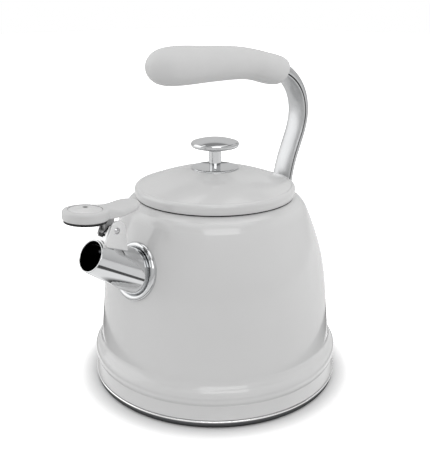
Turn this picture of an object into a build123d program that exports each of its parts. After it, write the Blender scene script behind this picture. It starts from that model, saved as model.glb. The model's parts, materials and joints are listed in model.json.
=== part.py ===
from build123d import *
import os
from math import cos, radians, sin

os.makedirs("parts", exist_ok=True)

# Stovetop whistling kettle, in millimetres.
# Origin: centre of the base's underside. +Z up, spout towards -X, handle arm at +X.
# Heights are drawn from the plane where the side of the base starts to curve under.
# finish() lifts each piece by STAND, the height of that plane above the hob.

# ---- Driving dimensions ----

# Vessel
STAND = 3.4               # hob to the plane that heights are drawn from
SHEET = 1.0               # enamelled steel sheet of the body and the lid
WELD_GAP = 0.05           # between the wall and what is fixed to it
RIM_RADIUS = 110.0        # bright edge of the steel base, the widest circle of the body
RIM_TOP = 3.6             # top of the bright edge
CORE_THICKNESS = 4.0      # aluminium heat spreader
CORE_RADIUS = 104.6
FLOOR_SHEET = 0.8         # steel of the base's two pans
SKIRT_RADIUS = 108.9      # lower edge of the enamelled skirt
SKIRT_BOTTOM = 4.0
MOUTH_RADIUS = 63.2       # bore of the opening under the lid
MOUTH_TOP = 160.6         # crown of the rolled rim round the opening
COLLAR_BOTTOM = 151.0     # lower end of the opening's turned-in collar

# Lid and knob
LID_RADIUS = 69.1
LID_BOTTOM = 161.3        # lower edge of the lid's rim
LID_EDGE_RADIUS = 68.3    # at that lower edge
LID_GAP = 0.4             # rolled rim to seal, lid at rest
SEAL_THICKNESS = 0.9
PLUG_RADIUS = 61.8        # outside of the liner that drops into the opening
PLUG_BOTTOM = 152.5
LINER_SHEET = 0.8
FLANGE_RADIUS = 66.8      # outside of the liner's flange, inside the lid's rim
LID_SEAL_RADIUS = 67.4
DISH_RADIUS = 20.2
DISH_HEIGHT = 182.0       # middle of the dish that the knob stands in
COLLAR_RADIUS = 4.75
COLLAR_TOP = 188.2
STEM_RADIUS = 5.5
KNOB_RADIUS = 20.5
KNOB_TOP = 209.3
WASHER_RADIUS = 5.5
WASHER_THICKNESS = 1.0

# Spout
SPOUT_TILT = 29.8         # axis above horizontal
MOUTH_X = -132.9          # centre of the spout's mouth
MOUTH_Z = 138.2
SPOUT_BORE = 11.7
SPOUT_WALL = 1.1
ROOT_RADIUS = 18.5        # outside of the tube at the flange
SPOUT_LENGTH = 49.1       # mouth to flange, along the axis
SPOUT_INSIDE = 8.0        # length of tube inside the body wall
RING_TILT = 15.3          # the flange ring follows the slope of the body wall
RING_X = -91.3            # centre of the flange ring
RING_Z = 114.0
RING_RADIUS = 21.4
RING_WIRE = 2.4

# Bracket and lever, in the spout's own frame: along its axis from the mouth, and up from the axis
PLATE = 1.2               # bracket sheet
BRACKET_HALF = 8.25       # half of its width, outside
BRACKET_FRONT = 2.4
BRACKET_BACK = 25.7
PLATE_TOP_RADIUS = 7.8    # rounded top of the side plates, about the pin
PIVOT_IN = 9.0
PIVOT_UP = 24.5
PIN_RADIUS = 1.5
PIN_CLEARANCE = 0.05
WINDOW_HALF = 5.7         # notch in the front plate that the lever's ears swing through
WINDOW_BOTTOM = 17.5
WINDOW_TOP = 26.2
LEVER_OPENING = 64.0      # turn of the lever from shut to open, as modelled
SHUT_GAP = 0.3            # seal to the spout's mouth when shut
SHUT_RISE = 1.5           # cap's centre above the mouth's when shut
CAP_RADIUS = 17.0
CAP_TOP = 9.7             # seal face to the top of the cap
SEAL_HEIGHT = 1.8
INSERT_RADIUS = 12.3      # domed whistle plate in the top of the cap
WHISTLE_HOLE = 2.0
ARM_HALF_WIDTH = 13.2
LEVER_TAIL = 47.5         # cap centre to the tip of the thumb plate
EAR_OUT = 4.3             # the lever's two ears, either side of the click spring
EAR_IN = 1.3

# Handle
STRAP_WIDTH = 19.5
STRAP_FACE = 1.6          # crown of its inner face
STRAP_SIDE = 4.4          # flat side, between the inner face and the crowned back
STRAP_CROWN = 7.6
STRAP_EDGE = 1.0          # rounded edges
FOOT_BOTTOM = 100.0
FOOT_X = 91.6             # middle of the foot, on the outside of the wall
FOOT_Z = 116.0
FOOT_TILT = 17.0          # slope of the wall there
SCREW_PLACES = ((0, -8.0), (0, 8.0))
SCREW_RADIUS = 2.0        # every M4 screw
SCREW_PLAY = 0.2          # clearance round it
SCREW_GRIP = 5.5          # depth of thread in the foot
HEAD_RADIUS = 4.0
HEAD_HEIGHT = 2.3
FOOT_SEAL_RADIUS = 4.6
FOOT_SEAL = 0.8           # thickness of the rubber washers
PLATE_UNDER = 2.8         # outside of the wall to the back of the plate inside it
GRIP_NOSE = -70.8
TANG_HALF_WIDTH = 6.0     # strip of the strap that runs on inside the grip
CORE_HALF_WIDTH = 9.0     # rigid core inside the grip
CORE_PIN_PLACES = ((18.0, 268.2), (44.0, 266.0))

# ---- Frames worked out from them ----

spout_mouth = Vector(MOUTH_X, 0, MOUTH_Z)
inward = Vector(cos(radians(SPOUT_TILT)), 0, -sin(radians(SPOUT_TILT)))
spout_side = Plane(origin=spout_mouth, x_dir=inward, z_dir=(0, -1, 0))
spout_axis = Axis(spout_mouth, inward)
wall_inward = Vector(cos(radians(RING_TILT)), 0, -sin(radians(RING_TILT)))
ring_side = Plane(origin=(RING_X, 0, RING_Z), x_dir=wall_inward, z_dir=(0, -1, 0))
ring_axis = Axis((RING_X, 0, RING_Z), wall_inward)

# Shut, the cap's axis is the spout's. The model holds the lever open, turned up about its pivot.
pivot = spout_side.from_local_coords(Vector(PIVOT_IN, PIVOT_UP, 0))
shut_foot = spout_mouth - inward * SHUT_GAP + spout_side.y_dir * SHUT_RISE
cap_foot = pivot + (shut_foot - pivot).rotate(Axis.Y, LEVER_OPENING)
cap_up = (inward * -1).rotate(Axis.Y, LEVER_OPENING)
cap_back = Vector(cap_up.Z, 0, -cap_up.X)
lever_side = Plane(origin=cap_foot, x_dir=cap_back, z_dir=(0, -1, 0))
cap_plane = Plane(origin=cap_foot, x_dir=cap_back, z_dir=cap_up)
cap_axis = Axis(cap_foot, cap_up)
lever_pivot = lever_side.to_local_coords(pivot)

# The handle's foot lies on the wall, and its screws stand square to it
outward = Vector(cos(radians(FOOT_TILT)), 0, sin(radians(FOOT_TILT)))
foot_plane = Plane(origin=(FOOT_X, 0, FOOT_Z), x_dir=(0, 1, 0), z_dir=outward)


THROUGH = 40.0            # longer than any hole that runs right through a small piece


def finish(piece, name):
    """Lift a finished piece to its height above the hob, label it and write its file."""
    piece = piece.moved(Location((0, 0, STAND)))
    piece.label = name
    export_step(piece, f"parts/{name}.step")
    size = piece.bounding_box().size
    print(f"{name:20s} {piece.volume:10.0f} mm3  {size.X:6.1f} {size.Y:6.1f} {size.Z:6.1f}")


# ---- Vessel ----

def draw_body_wall(inset):
    """Half-section of the body from the skirt's edge to the end of the collar, inset from its outside."""
    skirt = ThreePointArc((SKIRT_RADIUS - inset, SKIRT_BOTTOM), (107.9 - inset, 11.0), (107.6 - inset, 16.0))
    bead = ThreePointArc(skirt @ 1, (109.3 - inset, 23.2), (106.6 - inset, 29.4))
    blend = ThreePointArc(bead @ 1, (104.2 - inset, 32.2), (103.0 - inset, 36.0))
    wall = Spline(blend @ 1, (100.3 - inset, 64.0), (94.1 - inset, 108.0), (85.3 - inset, 135.5),
                  (79.6 - inset, 149.4))
    corner = TangentArc(wall @ 1, (74.4 - 0.5 * inset, 156.6 - 0.85 * inset), tangent=wall % 1)
    shoulder = Line(corner @ 1, (MOUTH_RADIUS + 4.0, MOUTH_TOP - 0.3 - inset))
    lip = ThreePointArc(shoulder @ 1, (MOUTH_RADIUS + 1.5 + 0.9 * inset, MOUTH_TOP - 1.12 * inset),
                        (MOUTH_RADIUS + inset, MOUTH_TOP - 2.2))
    Line(lip @ 1, (MOUTH_RADIUS + inset, COLLAR_BOTTOM))


# Solid that the outside of the body fills, for fitting pieces to the wall
with BuildPart() as body_outside:
    with BuildSketch(Plane.XZ):
        with BuildLine():
            draw_body_wall(-WELD_GAP)
            Polyline((MOUTH_RADIUS - WELD_GAP, COLLAR_BOTTOM), (0, COLLAR_BOTTOM), (0, SKIRT_BOTTOM),
                     (SKIRT_RADIUS + WELD_GAP, SKIRT_BOTTOM))
        make_face()
    revolve(axis=Axis.Z)

# Solid that fits inside the wall, for pieces fixed there
with BuildPart() as body_inside:
    with BuildSketch(Plane.XZ):
        with BuildLine():
            draw_body_wall(SHEET + WELD_GAP)
            Polyline((MOUTH_RADIUS + SHEET + WELD_GAP, COLLAR_BOTTOM), (0, COLLAR_BOTTOM), (0, SKIRT_BOTTOM),
                     (SKIRT_RADIUS - SHEET - WELD_GAP, SKIRT_BOTTOM))
        make_face()
    revolve(axis=Axis.Z)

# Outside of the spout tube, filled and run right through the wall
tube_slope = (ROOT_RADIUS - SPOUT_BORE - SPOUT_WALL) / SPOUT_LENGTH
tube_end = SPOUT_LENGTH + SPOUT_INSIDE
end_radius = SPOUT_BORE + SPOUT_WALL + tube_slope * tube_end
with BuildPart() as tube_outside:
    with BuildSketch(spout_side):
        Polygon((0, 0), (tube_end, 0), (tube_end, end_radius), (0, SPOUT_BORE + SPOUT_WALL), align=None)
    revolve(axis=spout_axis)

with BuildPart() as body_shell:
    with BuildSketch(Plane.XZ):
        with BuildLine():
            draw_body_wall(0)
            draw_body_wall(SHEET)
            Line((SKIRT_RADIUS, SKIRT_BOTTOM), (SKIRT_RADIUS - SHEET, SKIRT_BOTTOM))
            Line((MOUTH_RADIUS, COLLAR_BOTTOM), (MOUTH_RADIUS + SHEET, COLLAR_BOTTOM))
        make_face()
    revolve(axis=Axis.Z)
    add(tube_outside.part, mode=Mode.SUBTRACT)
    with BuildSketch(foot_plane.offset(-THROUGH / 2)):
        with Locations(*SCREW_PLACES):
            Circle(SCREW_RADIUS)
    extrude(amount=THROUGH, mode=Mode.SUBTRACT)
finish(body_shell.part, "body_shell")

# ---- Base ----

# Magnetic steel cap under the base; its rolled edge is the bright line round the kettle
cap_inside = FLOOR_SHEET - STAND
with BuildPart() as base_cap:
    with BuildSketch(Plane.XZ):
        with BuildLine():
            underside = Line((0, -STAND), (105.6, -STAND))
            edge = ThreePointArc(underside @ 1, (108.5, -2.2), (109.5, 0))
            side = Line(edge @ 1, (RIM_RADIUS, RIM_TOP - 1.0))
            lip = ThreePointArc(side @ 1, (RIM_RADIUS - 0.2, RIM_TOP - 0.3), (RIM_RADIUS - 0.8, RIM_TOP))
            Polyline(lip @ 1, (106.8, RIM_TOP), (105.2, cap_inside), (0, cap_inside), underside @ 0)
        make_face()
    revolve(axis=Axis.Z)
finish(base_cap.part, "base_cap")

core_top = cap_inside + CORE_THICKNESS
with BuildPart() as base_core:
    with BuildSketch(Plane.XY.offset(cap_inside)):
        Circle(CORE_RADIUS)
    extrude(amount=CORE_THICKNESS)
finish(base_core.part, "base_core")

# Floor of the vessel, with its flange turned up inside the skirt
with BuildPart() as floor_pan:
    with BuildSketch(Plane.XZ):
        with BuildLine():
            floor_under = Line((0, core_top), (CORE_RADIUS - 0.2, core_top))
            turn = ThreePointArc(floor_under @ 1, (105.5, core_top + 0.6), (105.9, core_top + 1.7))
            Polyline(turn @ 1, (106.3, 14.5), (106.3 - FLOOR_SHEET, 14.5), (104.9, core_top + 1.7),
                     (104.2, core_top + FLOOR_SHEET), (0, core_top + FLOOR_SHEET), floor_under @ 0)
        make_face()
    revolve(axis=Axis.Z)
finish(floor_pan.part, "floor_pan")

# ---- Spout ----

with BuildPart() as spout_tube:
    with BuildSketch(spout_side):
        Polygon((0, SPOUT_BORE), (tube_end, end_radius - SPOUT_WALL), (tube_end, end_radius),
                (0, SPOUT_BORE + SPOUT_WALL), align=None)
    revolve(axis=spout_axis)
    circles = spout_tube.edges().filter_by(GeomType.CIRCLE)
    fillet(circles.filter_by(lambda e: (e.arc_center - spout_mouth).length < 0.1), 0.4)
finish(spout_tube.part, "spout_tube")

# Rounded ring that covers the joint of tube and wall
with BuildPart() as spout_ring:
    with BuildSketch(ring_side):
        with Locations((0, RING_RADIUS)):
            Circle(RING_WIRE)
            Rectangle(7.0, 2 * RING_WIRE, align=(Align.MIN, Align.CENTER))
    revolve(axis=ring_axis)
    add(body_outside.part, mode=Mode.SUBTRACT)
    add(tube_outside.part, mode=Mode.SUBTRACT)
finish(spout_ring.part, "spout_ring")

# Ring welded to the tube inside the wall, shaped to the wall's inner face
with BuildPart() as spout_backing_ring:
    with BuildSketch(ring_side):
        with Locations((-4.0, 0)):
            Rectangle(9.0, 26.0, align=(Align.MIN, Align.MIN))
    revolve(axis=ring_axis)
    add(body_inside.part, mode=Mode.INTERSECT)
    add(tube_outside.part, mode=Mode.SUBTRACT)
finish(spout_backing_ring.part, "spout_backing_ring")

# ---- Bracket on the spout ----

spout_end = Plane(origin=spout_mouth, x_dir=(0, 1, 0), z_dir=inward)
plate_back = BRACKET_FRONT + PLATE
saddle_turn = 96.0
saddle_start = Vector(0, -1, 0).rotate(Axis((0, 0, 0), inward), saddle_turn / 2)
with BuildPart() as whistle_bracket:
    with BuildSketch(spout_side):
        with Locations((PIVOT_IN, PIVOT_UP)):
            Circle(PLATE_TOP_RADIUS)
        Polygon((BRACKET_FRONT, 9.0), (BRACKET_FRONT, PIVOT_UP), (BRACKET_BACK, 13.6), (BRACKET_BACK, 9.0),
                align=None)
        make_hull()
        with Locations((BRACKET_FRONT, 0)):
            Rectangle(10, 80, align=(Align.MAX, Align.CENTER), mode=Mode.SUBTRACT)
    extrude(amount=BRACKET_HALF, both=True)
    upright = whistle_bracket.edges().filter_by(lambda e: abs(e.tangent_at(0).dot(spout_side.y_dir)) > 0.9999)
    fillet(upright.group_by(lambda e: (e @ 0.5 - spout_mouth).dot(inward))[0], PLATE)
    with BuildSketch(spout_side):
        with Locations((plate_back, 0)):
            Rectangle(60, 80, align=(Align.MIN, Align.CENTER))
    extrude(amount=BRACKET_HALF - PLATE, both=True, mode=Mode.SUBTRACT)
    with BuildSketch(spout_end):
        with Locations((0, WINDOW_TOP)):
            Rectangle(2 * (BRACKET_HALF - PLATE), 20, align=(Align.CENTER, Align.MIN))
        Polygon((-WINDOW_HALF + 1.0, WINDOW_BOTTOM), (WINDOW_HALF - 1.0, WINDOW_BOTTOM),
                (WINDOW_HALF, WINDOW_TOP + 1), (-WINDOW_HALF, WINDOW_TOP + 1), align=None)
    extrude(amount=plate_back + 1, mode=Mode.SUBTRACT)
    with Locations(Location(pivot, (90, 0, 0))):
        Cylinder(PIN_RADIUS, THROUGH, mode=Mode.SUBTRACT)
    # Foot that hugs the tube behind the mouth
    with BuildSketch(Plane(origin=spout_mouth, x_dir=inward, z_dir=saddle_start)):
        with Locations((1.2, SPOUT_BORE)):
            Rectangle(3.2, SPOUT_WALL + 1.3, align=(Align.MIN, Align.MIN))
    revolve(axis=spout_axis, revolution_arc=-saddle_turn)
    add(tube_outside.part, mode=Mode.SUBTRACT)
finish(whistle_bracket.part, "whistle_bracket")

pin_side = Plane(origin=pivot, x_dir=(0, 1, 0), z_dir=(1, 0, 0))
pivot_axis = Axis(pivot, (0, 1, 0))
head_top = BRACKET_HALF + 1.4
with BuildPart() as lever_pin:
    with BuildSketch(pin_side):
        with BuildLine():
            head = TangentArc((head_top, 0), (BRACKET_HALF, 2.6), tangent=(0, 1))
            Polyline(head @ 1, (BRACKET_HALF, PIN_RADIUS), (0, PIN_RADIUS), (0, 0), head @ 0)
        make_face()
    revolve(axis=pivot_axis)
    mirror(about=Plane(origin=pivot, z_dir=(0, 1, 0)))
finish(lever_pin.part, "lever_pin")

# Black clip over the lower edge of the window, which stops the spring's leg
with BuildPart() as spring_clip:
    with BuildSketch(spout_side):
        with Locations((BRACKET_FRONT - 0.5, WINDOW_BOTTOM - 1.2)):
            Rectangle(PLATE + 1.0, 2.9, align=(Align.MIN, Align.MIN))
        with Locations((BRACKET_FRONT, WINDOW_BOTTOM)):
            Rectangle(PLATE, 10, align=(Align.MIN, Align.MAX), mode=Mode.SUBTRACT)
    extrude(amount=2.6, both=True)
finish(spring_clip.part, "spring_clip")

# Click spring: turns of wire round the pin between the lever's ears, and a leg down to the clip
spring_wire = 0.5
spring_radius = 2.2
with BuildPart() as click_spring:
    with BuildSketch(pin_side):
        with Locations((-0.45, spring_radius), (0.45, spring_radius)):
            Circle(spring_wire)
    revolve(axis=pivot_axis)
    with BuildLine(spout_side) as leg:
        Line((PIVOT_IN - spring_radius, PIVOT_UP), (3.2, WINDOW_BOTTOM + 0.8))
    with BuildSketch(Plane(origin=leg.line @ 0, z_dir=leg.line % 0)):
        Circle(spring_wire)
    sweep(path=leg.line)
    add(spring_clip.part, mode=Mode.SUBTRACT)
finish(click_spring.part, "click_spring")

# ---- Whistle lever ----

arm_start = 17.0
tail_centre = LEVER_TAIL - ARM_HALF_WIDTH
bore_radius = 10.2
recess_floor = CAP_TOP - 1.6
with BuildPart() as whistle_lever:
    with BuildSketch(lever_side):
        with BuildLine():
            cap_under = Line((-CAP_RADIUS - 1, SEAL_HEIGHT), (arm_start, SEAL_HEIGHT))
            arm_under = Spline(cap_under @ 1, (27.0, 2.2), (37.0, 4.9), (LEVER_TAIL, 8.4),
                               tangents=((1, 0), (1, 0.15)))
            tip = Line(arm_under @ 1, (LEVER_TAIL, 11.6))
            arm_top = Spline(tip @ 1, (38.0, 9.9), (26.0, 8.0), (14.0, CAP_TOP),
                             tangents=((-1, 0.02), (-1, 0)))
            Polyline(arm_top @ 1, (-CAP_RADIUS - 1, CAP_TOP), cap_under @ 0)
        make_face()
    extrude(amount=CAP_RADIUS + 1, both=True)
    with BuildSketch(cap_plane) as lever_plan:
        Circle(CAP_RADIUS)
        with Locations((tail_centre / 2, 0)):
            SlotCenterToCenter(tail_centre, 2 * ARM_HALF_WIDTH)
        fillet(lever_plan.vertices().filter_by(lambda v: abs(abs((v - cap_foot).Y) - ARM_HALF_WIDTH) < 0.5)
               .group_by(lambda v: (Vector(v) - cap_foot).dot(cap_back))[0], 14.0)
    extrude(amount=20, mode=Mode.INTERSECT)
    fillet(whistle_lever.edges().filter_by(lambda e: abs(e.tangent_at(0.5).dot(cap_up)) < 0.9), 1.3)
    # Ears down to the pin
    with BuildSketch(lever_side):
        with Locations((lever_pivot.X, lever_pivot.Y)):
            Circle(4.0)
        Polygon((lever_pivot.X - 4.0, lever_pivot.Y), (lever_pivot.X + 4.0, lever_pivot.Y),
                (lever_pivot.X + 5.5, 3.2), (lever_pivot.X - 5.0, 3.2), align=None)
    extrude(amount=EAR_OUT, both=True)
    with BuildSketch(lever_side):
        with Locations((lever_pivot.X, lever_pivot.Y)):
            Circle(3.6)
    extrude(amount=BRACKET_HALF - PLATE - 0.3, both=True)
    with BuildSketch(lever_side):
        with Locations((lever_pivot.X, 1.0)):
            Rectangle(14, 20, align=(Align.CENTER, Align.MAX))
    extrude(amount=EAR_IN, both=True, mode=Mode.SUBTRACT)
    with Locations(Location(pivot, (90, 0, 0))):
        Cylinder(PIN_RADIUS + PIN_CLEARANCE, THROUGH, mode=Mode.SUBTRACT)
    # Seat of the whistle
    with BuildSketch(cap_plane):
        Circle(bore_radius)
    extrude(amount=20, mode=Mode.SUBTRACT)
    with BuildSketch(cap_plane.offset(recess_floor)):
        Circle(INSERT_RADIUS)
    extrude(amount=10, mode=Mode.SUBTRACT)
finish(whistle_lever.part, "whistle_lever")

with BuildPart() as cap_seal:
    with BuildSketch(cap_plane):
        Circle(15.9)
        Circle(9.6, mode=Mode.SUBTRACT)
    extrude(amount=SEAL_HEIGHT)
finish(cap_seal.part, "cap_seal")

insert_sheet = 0.8
with BuildPart() as whistle_insert:
    with BuildSketch(lever_side):
        with BuildLine():
            rim_foot = Line((INSERT_RADIUS, recess_floor), (INSERT_RADIUS, recess_floor + 1.1))
            dome = TangentArc((0, CAP_TOP + 1.3), rim_foot @ 1, tangent=(1, 0))
            dome_under = TangentArc((0, CAP_TOP + 1.3 - insert_sheet), (INSERT_RADIUS - 2.0, recess_floor),
                                    tangent=(1, 0))
            Line(dome @ 0, dome_under @ 0)
            Line(dome_under @ 1, rim_foot @ 0)
        make_face()
    revolve(axis=cap_axis)
    with BuildSketch(cap_plane):
        Circle(WHISTLE_HOLE)
    extrude(amount=20, mode=Mode.SUBTRACT)
finish(whistle_insert.part, "whistle_insert")

cup_floor = 3.6
cup_sheet = 0.6
with BuildPart() as whistle_cup:
    with BuildSketch(lever_side):
        Polygon((WHISTLE_HOLE, cup_floor), (bore_radius, cup_floor), (bore_radius, recess_floor),
                (bore_radius - cup_sheet, recess_floor), (bore_radius - cup_sheet, cup_floor + cup_sheet),
                (WHISTLE_HOLE, cup_floor + cup_sheet), align=None)
    revolve(axis=cap_axis)
finish(whistle_cup.part, "whistle_cup")

# ---- Lid ----

lid_middle = DISH_HEIGHT - 1.0


def draw_lid_top(inset):
    """Half-section of the lid from its lower edge to its axis, inset from its outside."""
    side = ThreePointArc((LID_EDGE_RADIUS - inset, LID_BOTTOM), (68.9 - inset, 163.6),
                         (LID_RADIUS - inset, 166.6))
    brow = ThreePointArc(side @ 1, (68.1 - 0.7 * inset, 169.2 - 0.7 * inset),
                         (65.6 - 0.3 * inset, 170.1 - inset))
    dome = ThreePointArc(brow @ 1, (44.0 - 0.3 * inset, 177.7 - inset), (DISH_RADIUS + 0.8, 183.2 - inset))
    recess = ThreePointArc(dome @ 1, (13.0, 181.9 - inset), (6.0, lid_middle - inset))
    Line(recess @ 1, (0, lid_middle - inset))


with BuildPart() as lid_outside:
    with BuildSketch(Plane.XZ):
        with BuildLine():
            draw_lid_top(0)
            Polyline((0, lid_middle), (0, LID_BOTTOM), (LID_EDGE_RADIUS, LID_BOTTOM))
        make_face()
    revolve(axis=Axis.Z)

screw_hole = SCREW_RADIUS + SCREW_PLAY
with BuildPart() as lid_shell:
    with BuildSketch(Plane.XZ):
        with BuildLine():
            draw_lid_top(0)
            draw_lid_top(SHEET)
            Line((LID_EDGE_RADIUS, LID_BOTTOM), (LID_EDGE_RADIUS - SHEET, LID_BOTTOM))
            Line((0, lid_middle), (0, lid_middle - SHEET))
        make_face()
    revolve(axis=Axis.Z)
    with BuildSketch(Plane.XY.offset(LID_BOTTOM)):
        Circle(screw_hole)
    extrude(amount=THROUGH, mode=Mode.SUBTRACT)
finish(lid_shell.part, "lid_shell")

# Steel liner: a flange under the lid's rim and a ring that drops into the opening
seal_bottom = MOUTH_TOP + LID_GAP
flange_bottom = seal_bottom + SEAL_THICKNESS
flange_top = flange_bottom + LINER_SHEET
with BuildPart() as lid_liner:
    with BuildSketch(Plane.XZ):
        Polygon((FLANGE_RADIUS, flange_bottom), (PLUG_RADIUS, flange_bottom), (PLUG_RADIUS, PLUG_BOTTOM),
                (PLUG_RADIUS - LINER_SHEET, PLUG_BOTTOM), (PLUG_RADIUS - LINER_SHEET, flange_top),
                (FLANGE_RADIUS, flange_top), align=None)
    revolve(axis=Axis.Z)
finish(lid_liner.part, "lid_liner")

with BuildPart() as lid_seal:
    with BuildSketch(Plane.XY.offset(seal_bottom)):
        Circle(LID_SEAL_RADIUS)
        Circle(PLUG_RADIUS + 0.2, mode=Mode.SUBTRACT)
    extrude(amount=SEAL_THICKNESS)
    add(lid_shell.part, mode=Mode.SUBTRACT)
finish(lid_seal.part, "lid_seal")

with BuildPart() as knob_dish:
    with BuildSketch(Plane.XZ):
        with BuildLine():
            bowl = ThreePointArc((COLLAR_RADIUS, DISH_HEIGHT), (13.0, DISH_HEIGHT + 0.8),
                                 (DISH_RADIUS - 0.6, 184.5))
            Polyline(bowl @ 1, (DISH_RADIUS, 184.2), (DISH_RADIUS, 178.0), (0, 178.0), (0, DISH_HEIGHT),
                     bowl @ 0)
        make_face()
    revolve(axis=Axis.Z)
    add(lid_outside.part, mode=Mode.SUBTRACT)
    with BuildSketch(Plane.XY.offset(DISH_HEIGHT - THROUGH / 2)):
        Circle(screw_hole)
    extrude(amount=THROUGH, mode=Mode.SUBTRACT)
finish(knob_dish.part, "knob_dish")

with BuildPart() as knob_collar:
    with BuildSketch(Plane.XY.offset(DISH_HEIGHT)):
        Circle(COLLAR_RADIUS)
        Circle(screw_hole, mode=Mode.SUBTRACT)
    extrude(amount=COLLAR_TOP - DISH_HEIGHT)
finish(knob_collar.part, "knob_collar")

knob_screw_top = 197.0
with BuildPart() as lid_knob:
    with BuildSketch(Plane.XZ):
        with BuildLine():
            stem = Polyline((0, COLLAR_TOP), (STEM_RADIUS, COLLAR_TOP), (STEM_RADIUS, 197.4))
            flare = ThreePointArc(stem @ 1, (6.3, 199.6), (9.2, 200.5))
            belly = ThreePointArc(flare @ 1, (15.0, 200.7), (19.0, 201.5))
            rim = ThreePointArc(belly @ 1, (KNOB_RADIUS, 203.6), (19.4, 206.0))
            crown = TangentArc((0, KNOB_TOP), rim @ 1, tangent=(1, 0))
            Line(crown @ 0, stem @ 0)
        make_face()
    revolve(axis=Axis.Z)
    with BuildSketch(Plane.XY.offset(COLLAR_TOP)):
        Circle(SCREW_RADIUS)
    extrude(amount=knob_screw_top - COLLAR_TOP, mode=Mode.SUBTRACT)
finish(lid_knob.part, "lid_knob")

washer_top = lid_middle - SHEET
washer_bottom = washer_top - WASHER_THICKNESS
with BuildPart() as knob_washer:
    with BuildSketch(Plane.XY.offset(washer_top)):
        Circle(WASHER_RADIUS)
        Circle(screw_hole, mode=Mode.SUBTRACT)
    extrude(amount=-WASHER_THICKNESS)
finish(knob_washer.part, "knob_washer")

with BuildPart() as knob_screw:
    with BuildSketch(Plane.XY.offset(washer_bottom)):
        Circle(HEAD_RADIUS)
    extrude(amount=-HEAD_HEIGHT)
    fillet(knob_screw.edges().group_by(Axis.Z)[0], 1.0)
    with BuildSketch(Plane.XY.offset(washer_bottom)):
        Circle(SCREW_RADIUS)
    extrude(amount=knob_screw_top - washer_bottom)
finish(knob_screw.part, "knob_screw")

# ---- Handle ----

def draw_strap_route():
    """Inner face of the strap, from inside the grip round to its foot on the body wall."""
    return Spline((62.0, 259.4), (88.0, 250.6), (104.3, 234.8), (108.4, 217.5), (98.8, 190.2), (88.9, 163.5),
                  (86.6, 144.0), (88.4, 122.0), (92.8, FOOT_BOTTOM - 1.0))


half_strap = STRAP_WIDTH / 2
taper_top = FOOT_BOTTOM + 20.0
with BuildPart() as handle_strap:
    with BuildLine(Plane.XZ) as route:
        draw_strap_route()
    with BuildSketch(Plane(origin=route.line @ 0, x_dir=(0, 1, 0), z_dir=route.line % 0)) as section:
        with BuildLine():
            face = ThreePointArc((-half_strap, STRAP_FACE), (0, 0), (half_strap, STRAP_FACE))
            side = Line(face @ 1, (half_strap, STRAP_FACE + STRAP_SIDE))
            back = ThreePointArc(side @ 1, (0, STRAP_FACE + STRAP_SIDE + STRAP_CROWN),
                                 (-half_strap, STRAP_FACE + STRAP_SIDE))
            Line(back @ 1, face @ 0)
        make_face()
        fillet(section.vertices(), STRAP_EDGE)
    sweep(path=route.line)
    # Tang that runs forward inside the grip's core
    with BuildSketch(Plane.XZ):
        Polygon((4.0, 266.5), (66.0, 261.5), (66.0, 267.0), (4.0, 272.0), align=None)
    extrude(amount=TANG_HALF_WIDTH, both=True)
    # Foot with a round end, bedded on the wall
    with BuildSketch(Plane.YZ):
        with Locations((0, FOOT_BOTTOM + half_strap)):
            Circle(half_strap)
            Rectangle(2 * STRAP_WIDTH, KNOB_TOP, align=(Align.CENTER, Align.MIN))
    extrude(amount=2 * RIM_RADIUS, mode=Mode.INTERSECT)
    with BuildSketch(Plane.XZ):
        with BuildLine():
            taper = ThreePointArc((FOOT_X + 2.0, FOOT_BOTTOM), (FOOT_X + 10.5, FOOT_BOTTOM + 6.5),
                                  (FOOT_X + 14.5, taper_top))
            Polyline(taper @ 1, (FOOT_X + 30.0, taper_top), (FOOT_X + 30.0, FOOT_BOTTOM - 10.0),
                     (FOOT_X + 2.0, FOOT_BOTTOM - 10.0), taper @ 0)
        make_face()
    extrude(amount=STRAP_WIDTH, both=True, mode=Mode.SUBTRACT)
    add(body_outside.part, mode=Mode.SUBTRACT)
    with BuildSketch(foot_plane.offset(-1)):
        with Locations(*SCREW_PLACES):
            Circle(SCREW_RADIUS)
    extrude(amount=1 + SCREW_GRIP, mode=Mode.SUBTRACT)
    with Locations(*[Location((x, 0, z), (90, 0, 0)) for x, z in CORE_PIN_PLACES]):
        Cylinder(SCREW_RADIUS, THROUGH, mode=Mode.SUBTRACT)
finish(handle_strap.part, "handle_strap")

# Grip: upright sections of the bar along its length, as x, z of the centre, lean, half height, half width
GRIP_SECTIONS = (
    (-50.0, 270.8, 0.0, 14.8, 15.0),
    (-17.0, 270.2, 2.0, 14.7, 14.7),
    (17.5, 269.4, 4.0, 13.9, 14.2),
    (45.0, 266.6, 9.0, 13.2, 14.0),
    (65.0, 262.2, 15.0, 13.5, 14.2),
    (75.0, 260.2, 20.0, 13.4, 13.9),
    (82.0, 258.3, 26.0, 12.4, 12.9),
)


def grip_section(x, z, lean, half_height, half_width):
    """Oval across the grip, its plane leaning back by lean degrees."""
    along = Vector(cos(radians(lean)), 0, -sin(radians(lean)))
    with BuildSketch(Plane(origin=(x, 0, z), x_dir=(0, 1, 0), z_dir=along)) as oval:
        Ellipse(half_width, half_height)
    return oval.sketch.face()


def nose_section(angle):
    """Section of the round nose, at an angle from its tip."""
    x, z, lean, half_height, half_width = GRIP_SECTIONS[0]
    length = x - GRIP_NOSE
    size = sin(radians(angle))
    return grip_section(x - length * cos(radians(angle)), z, lean, half_height * size, half_width * size)


with BuildPart() as grip_outside:
    nose = [nose_section(angle) for angle in (8, 30, 60)]
    loft(nose + [grip_section(*numbers) for numbers in GRIP_SECTIONS])
    fillet(grip_outside.edges().sort_by(Axis.X)[-1], 2.0)

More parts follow.
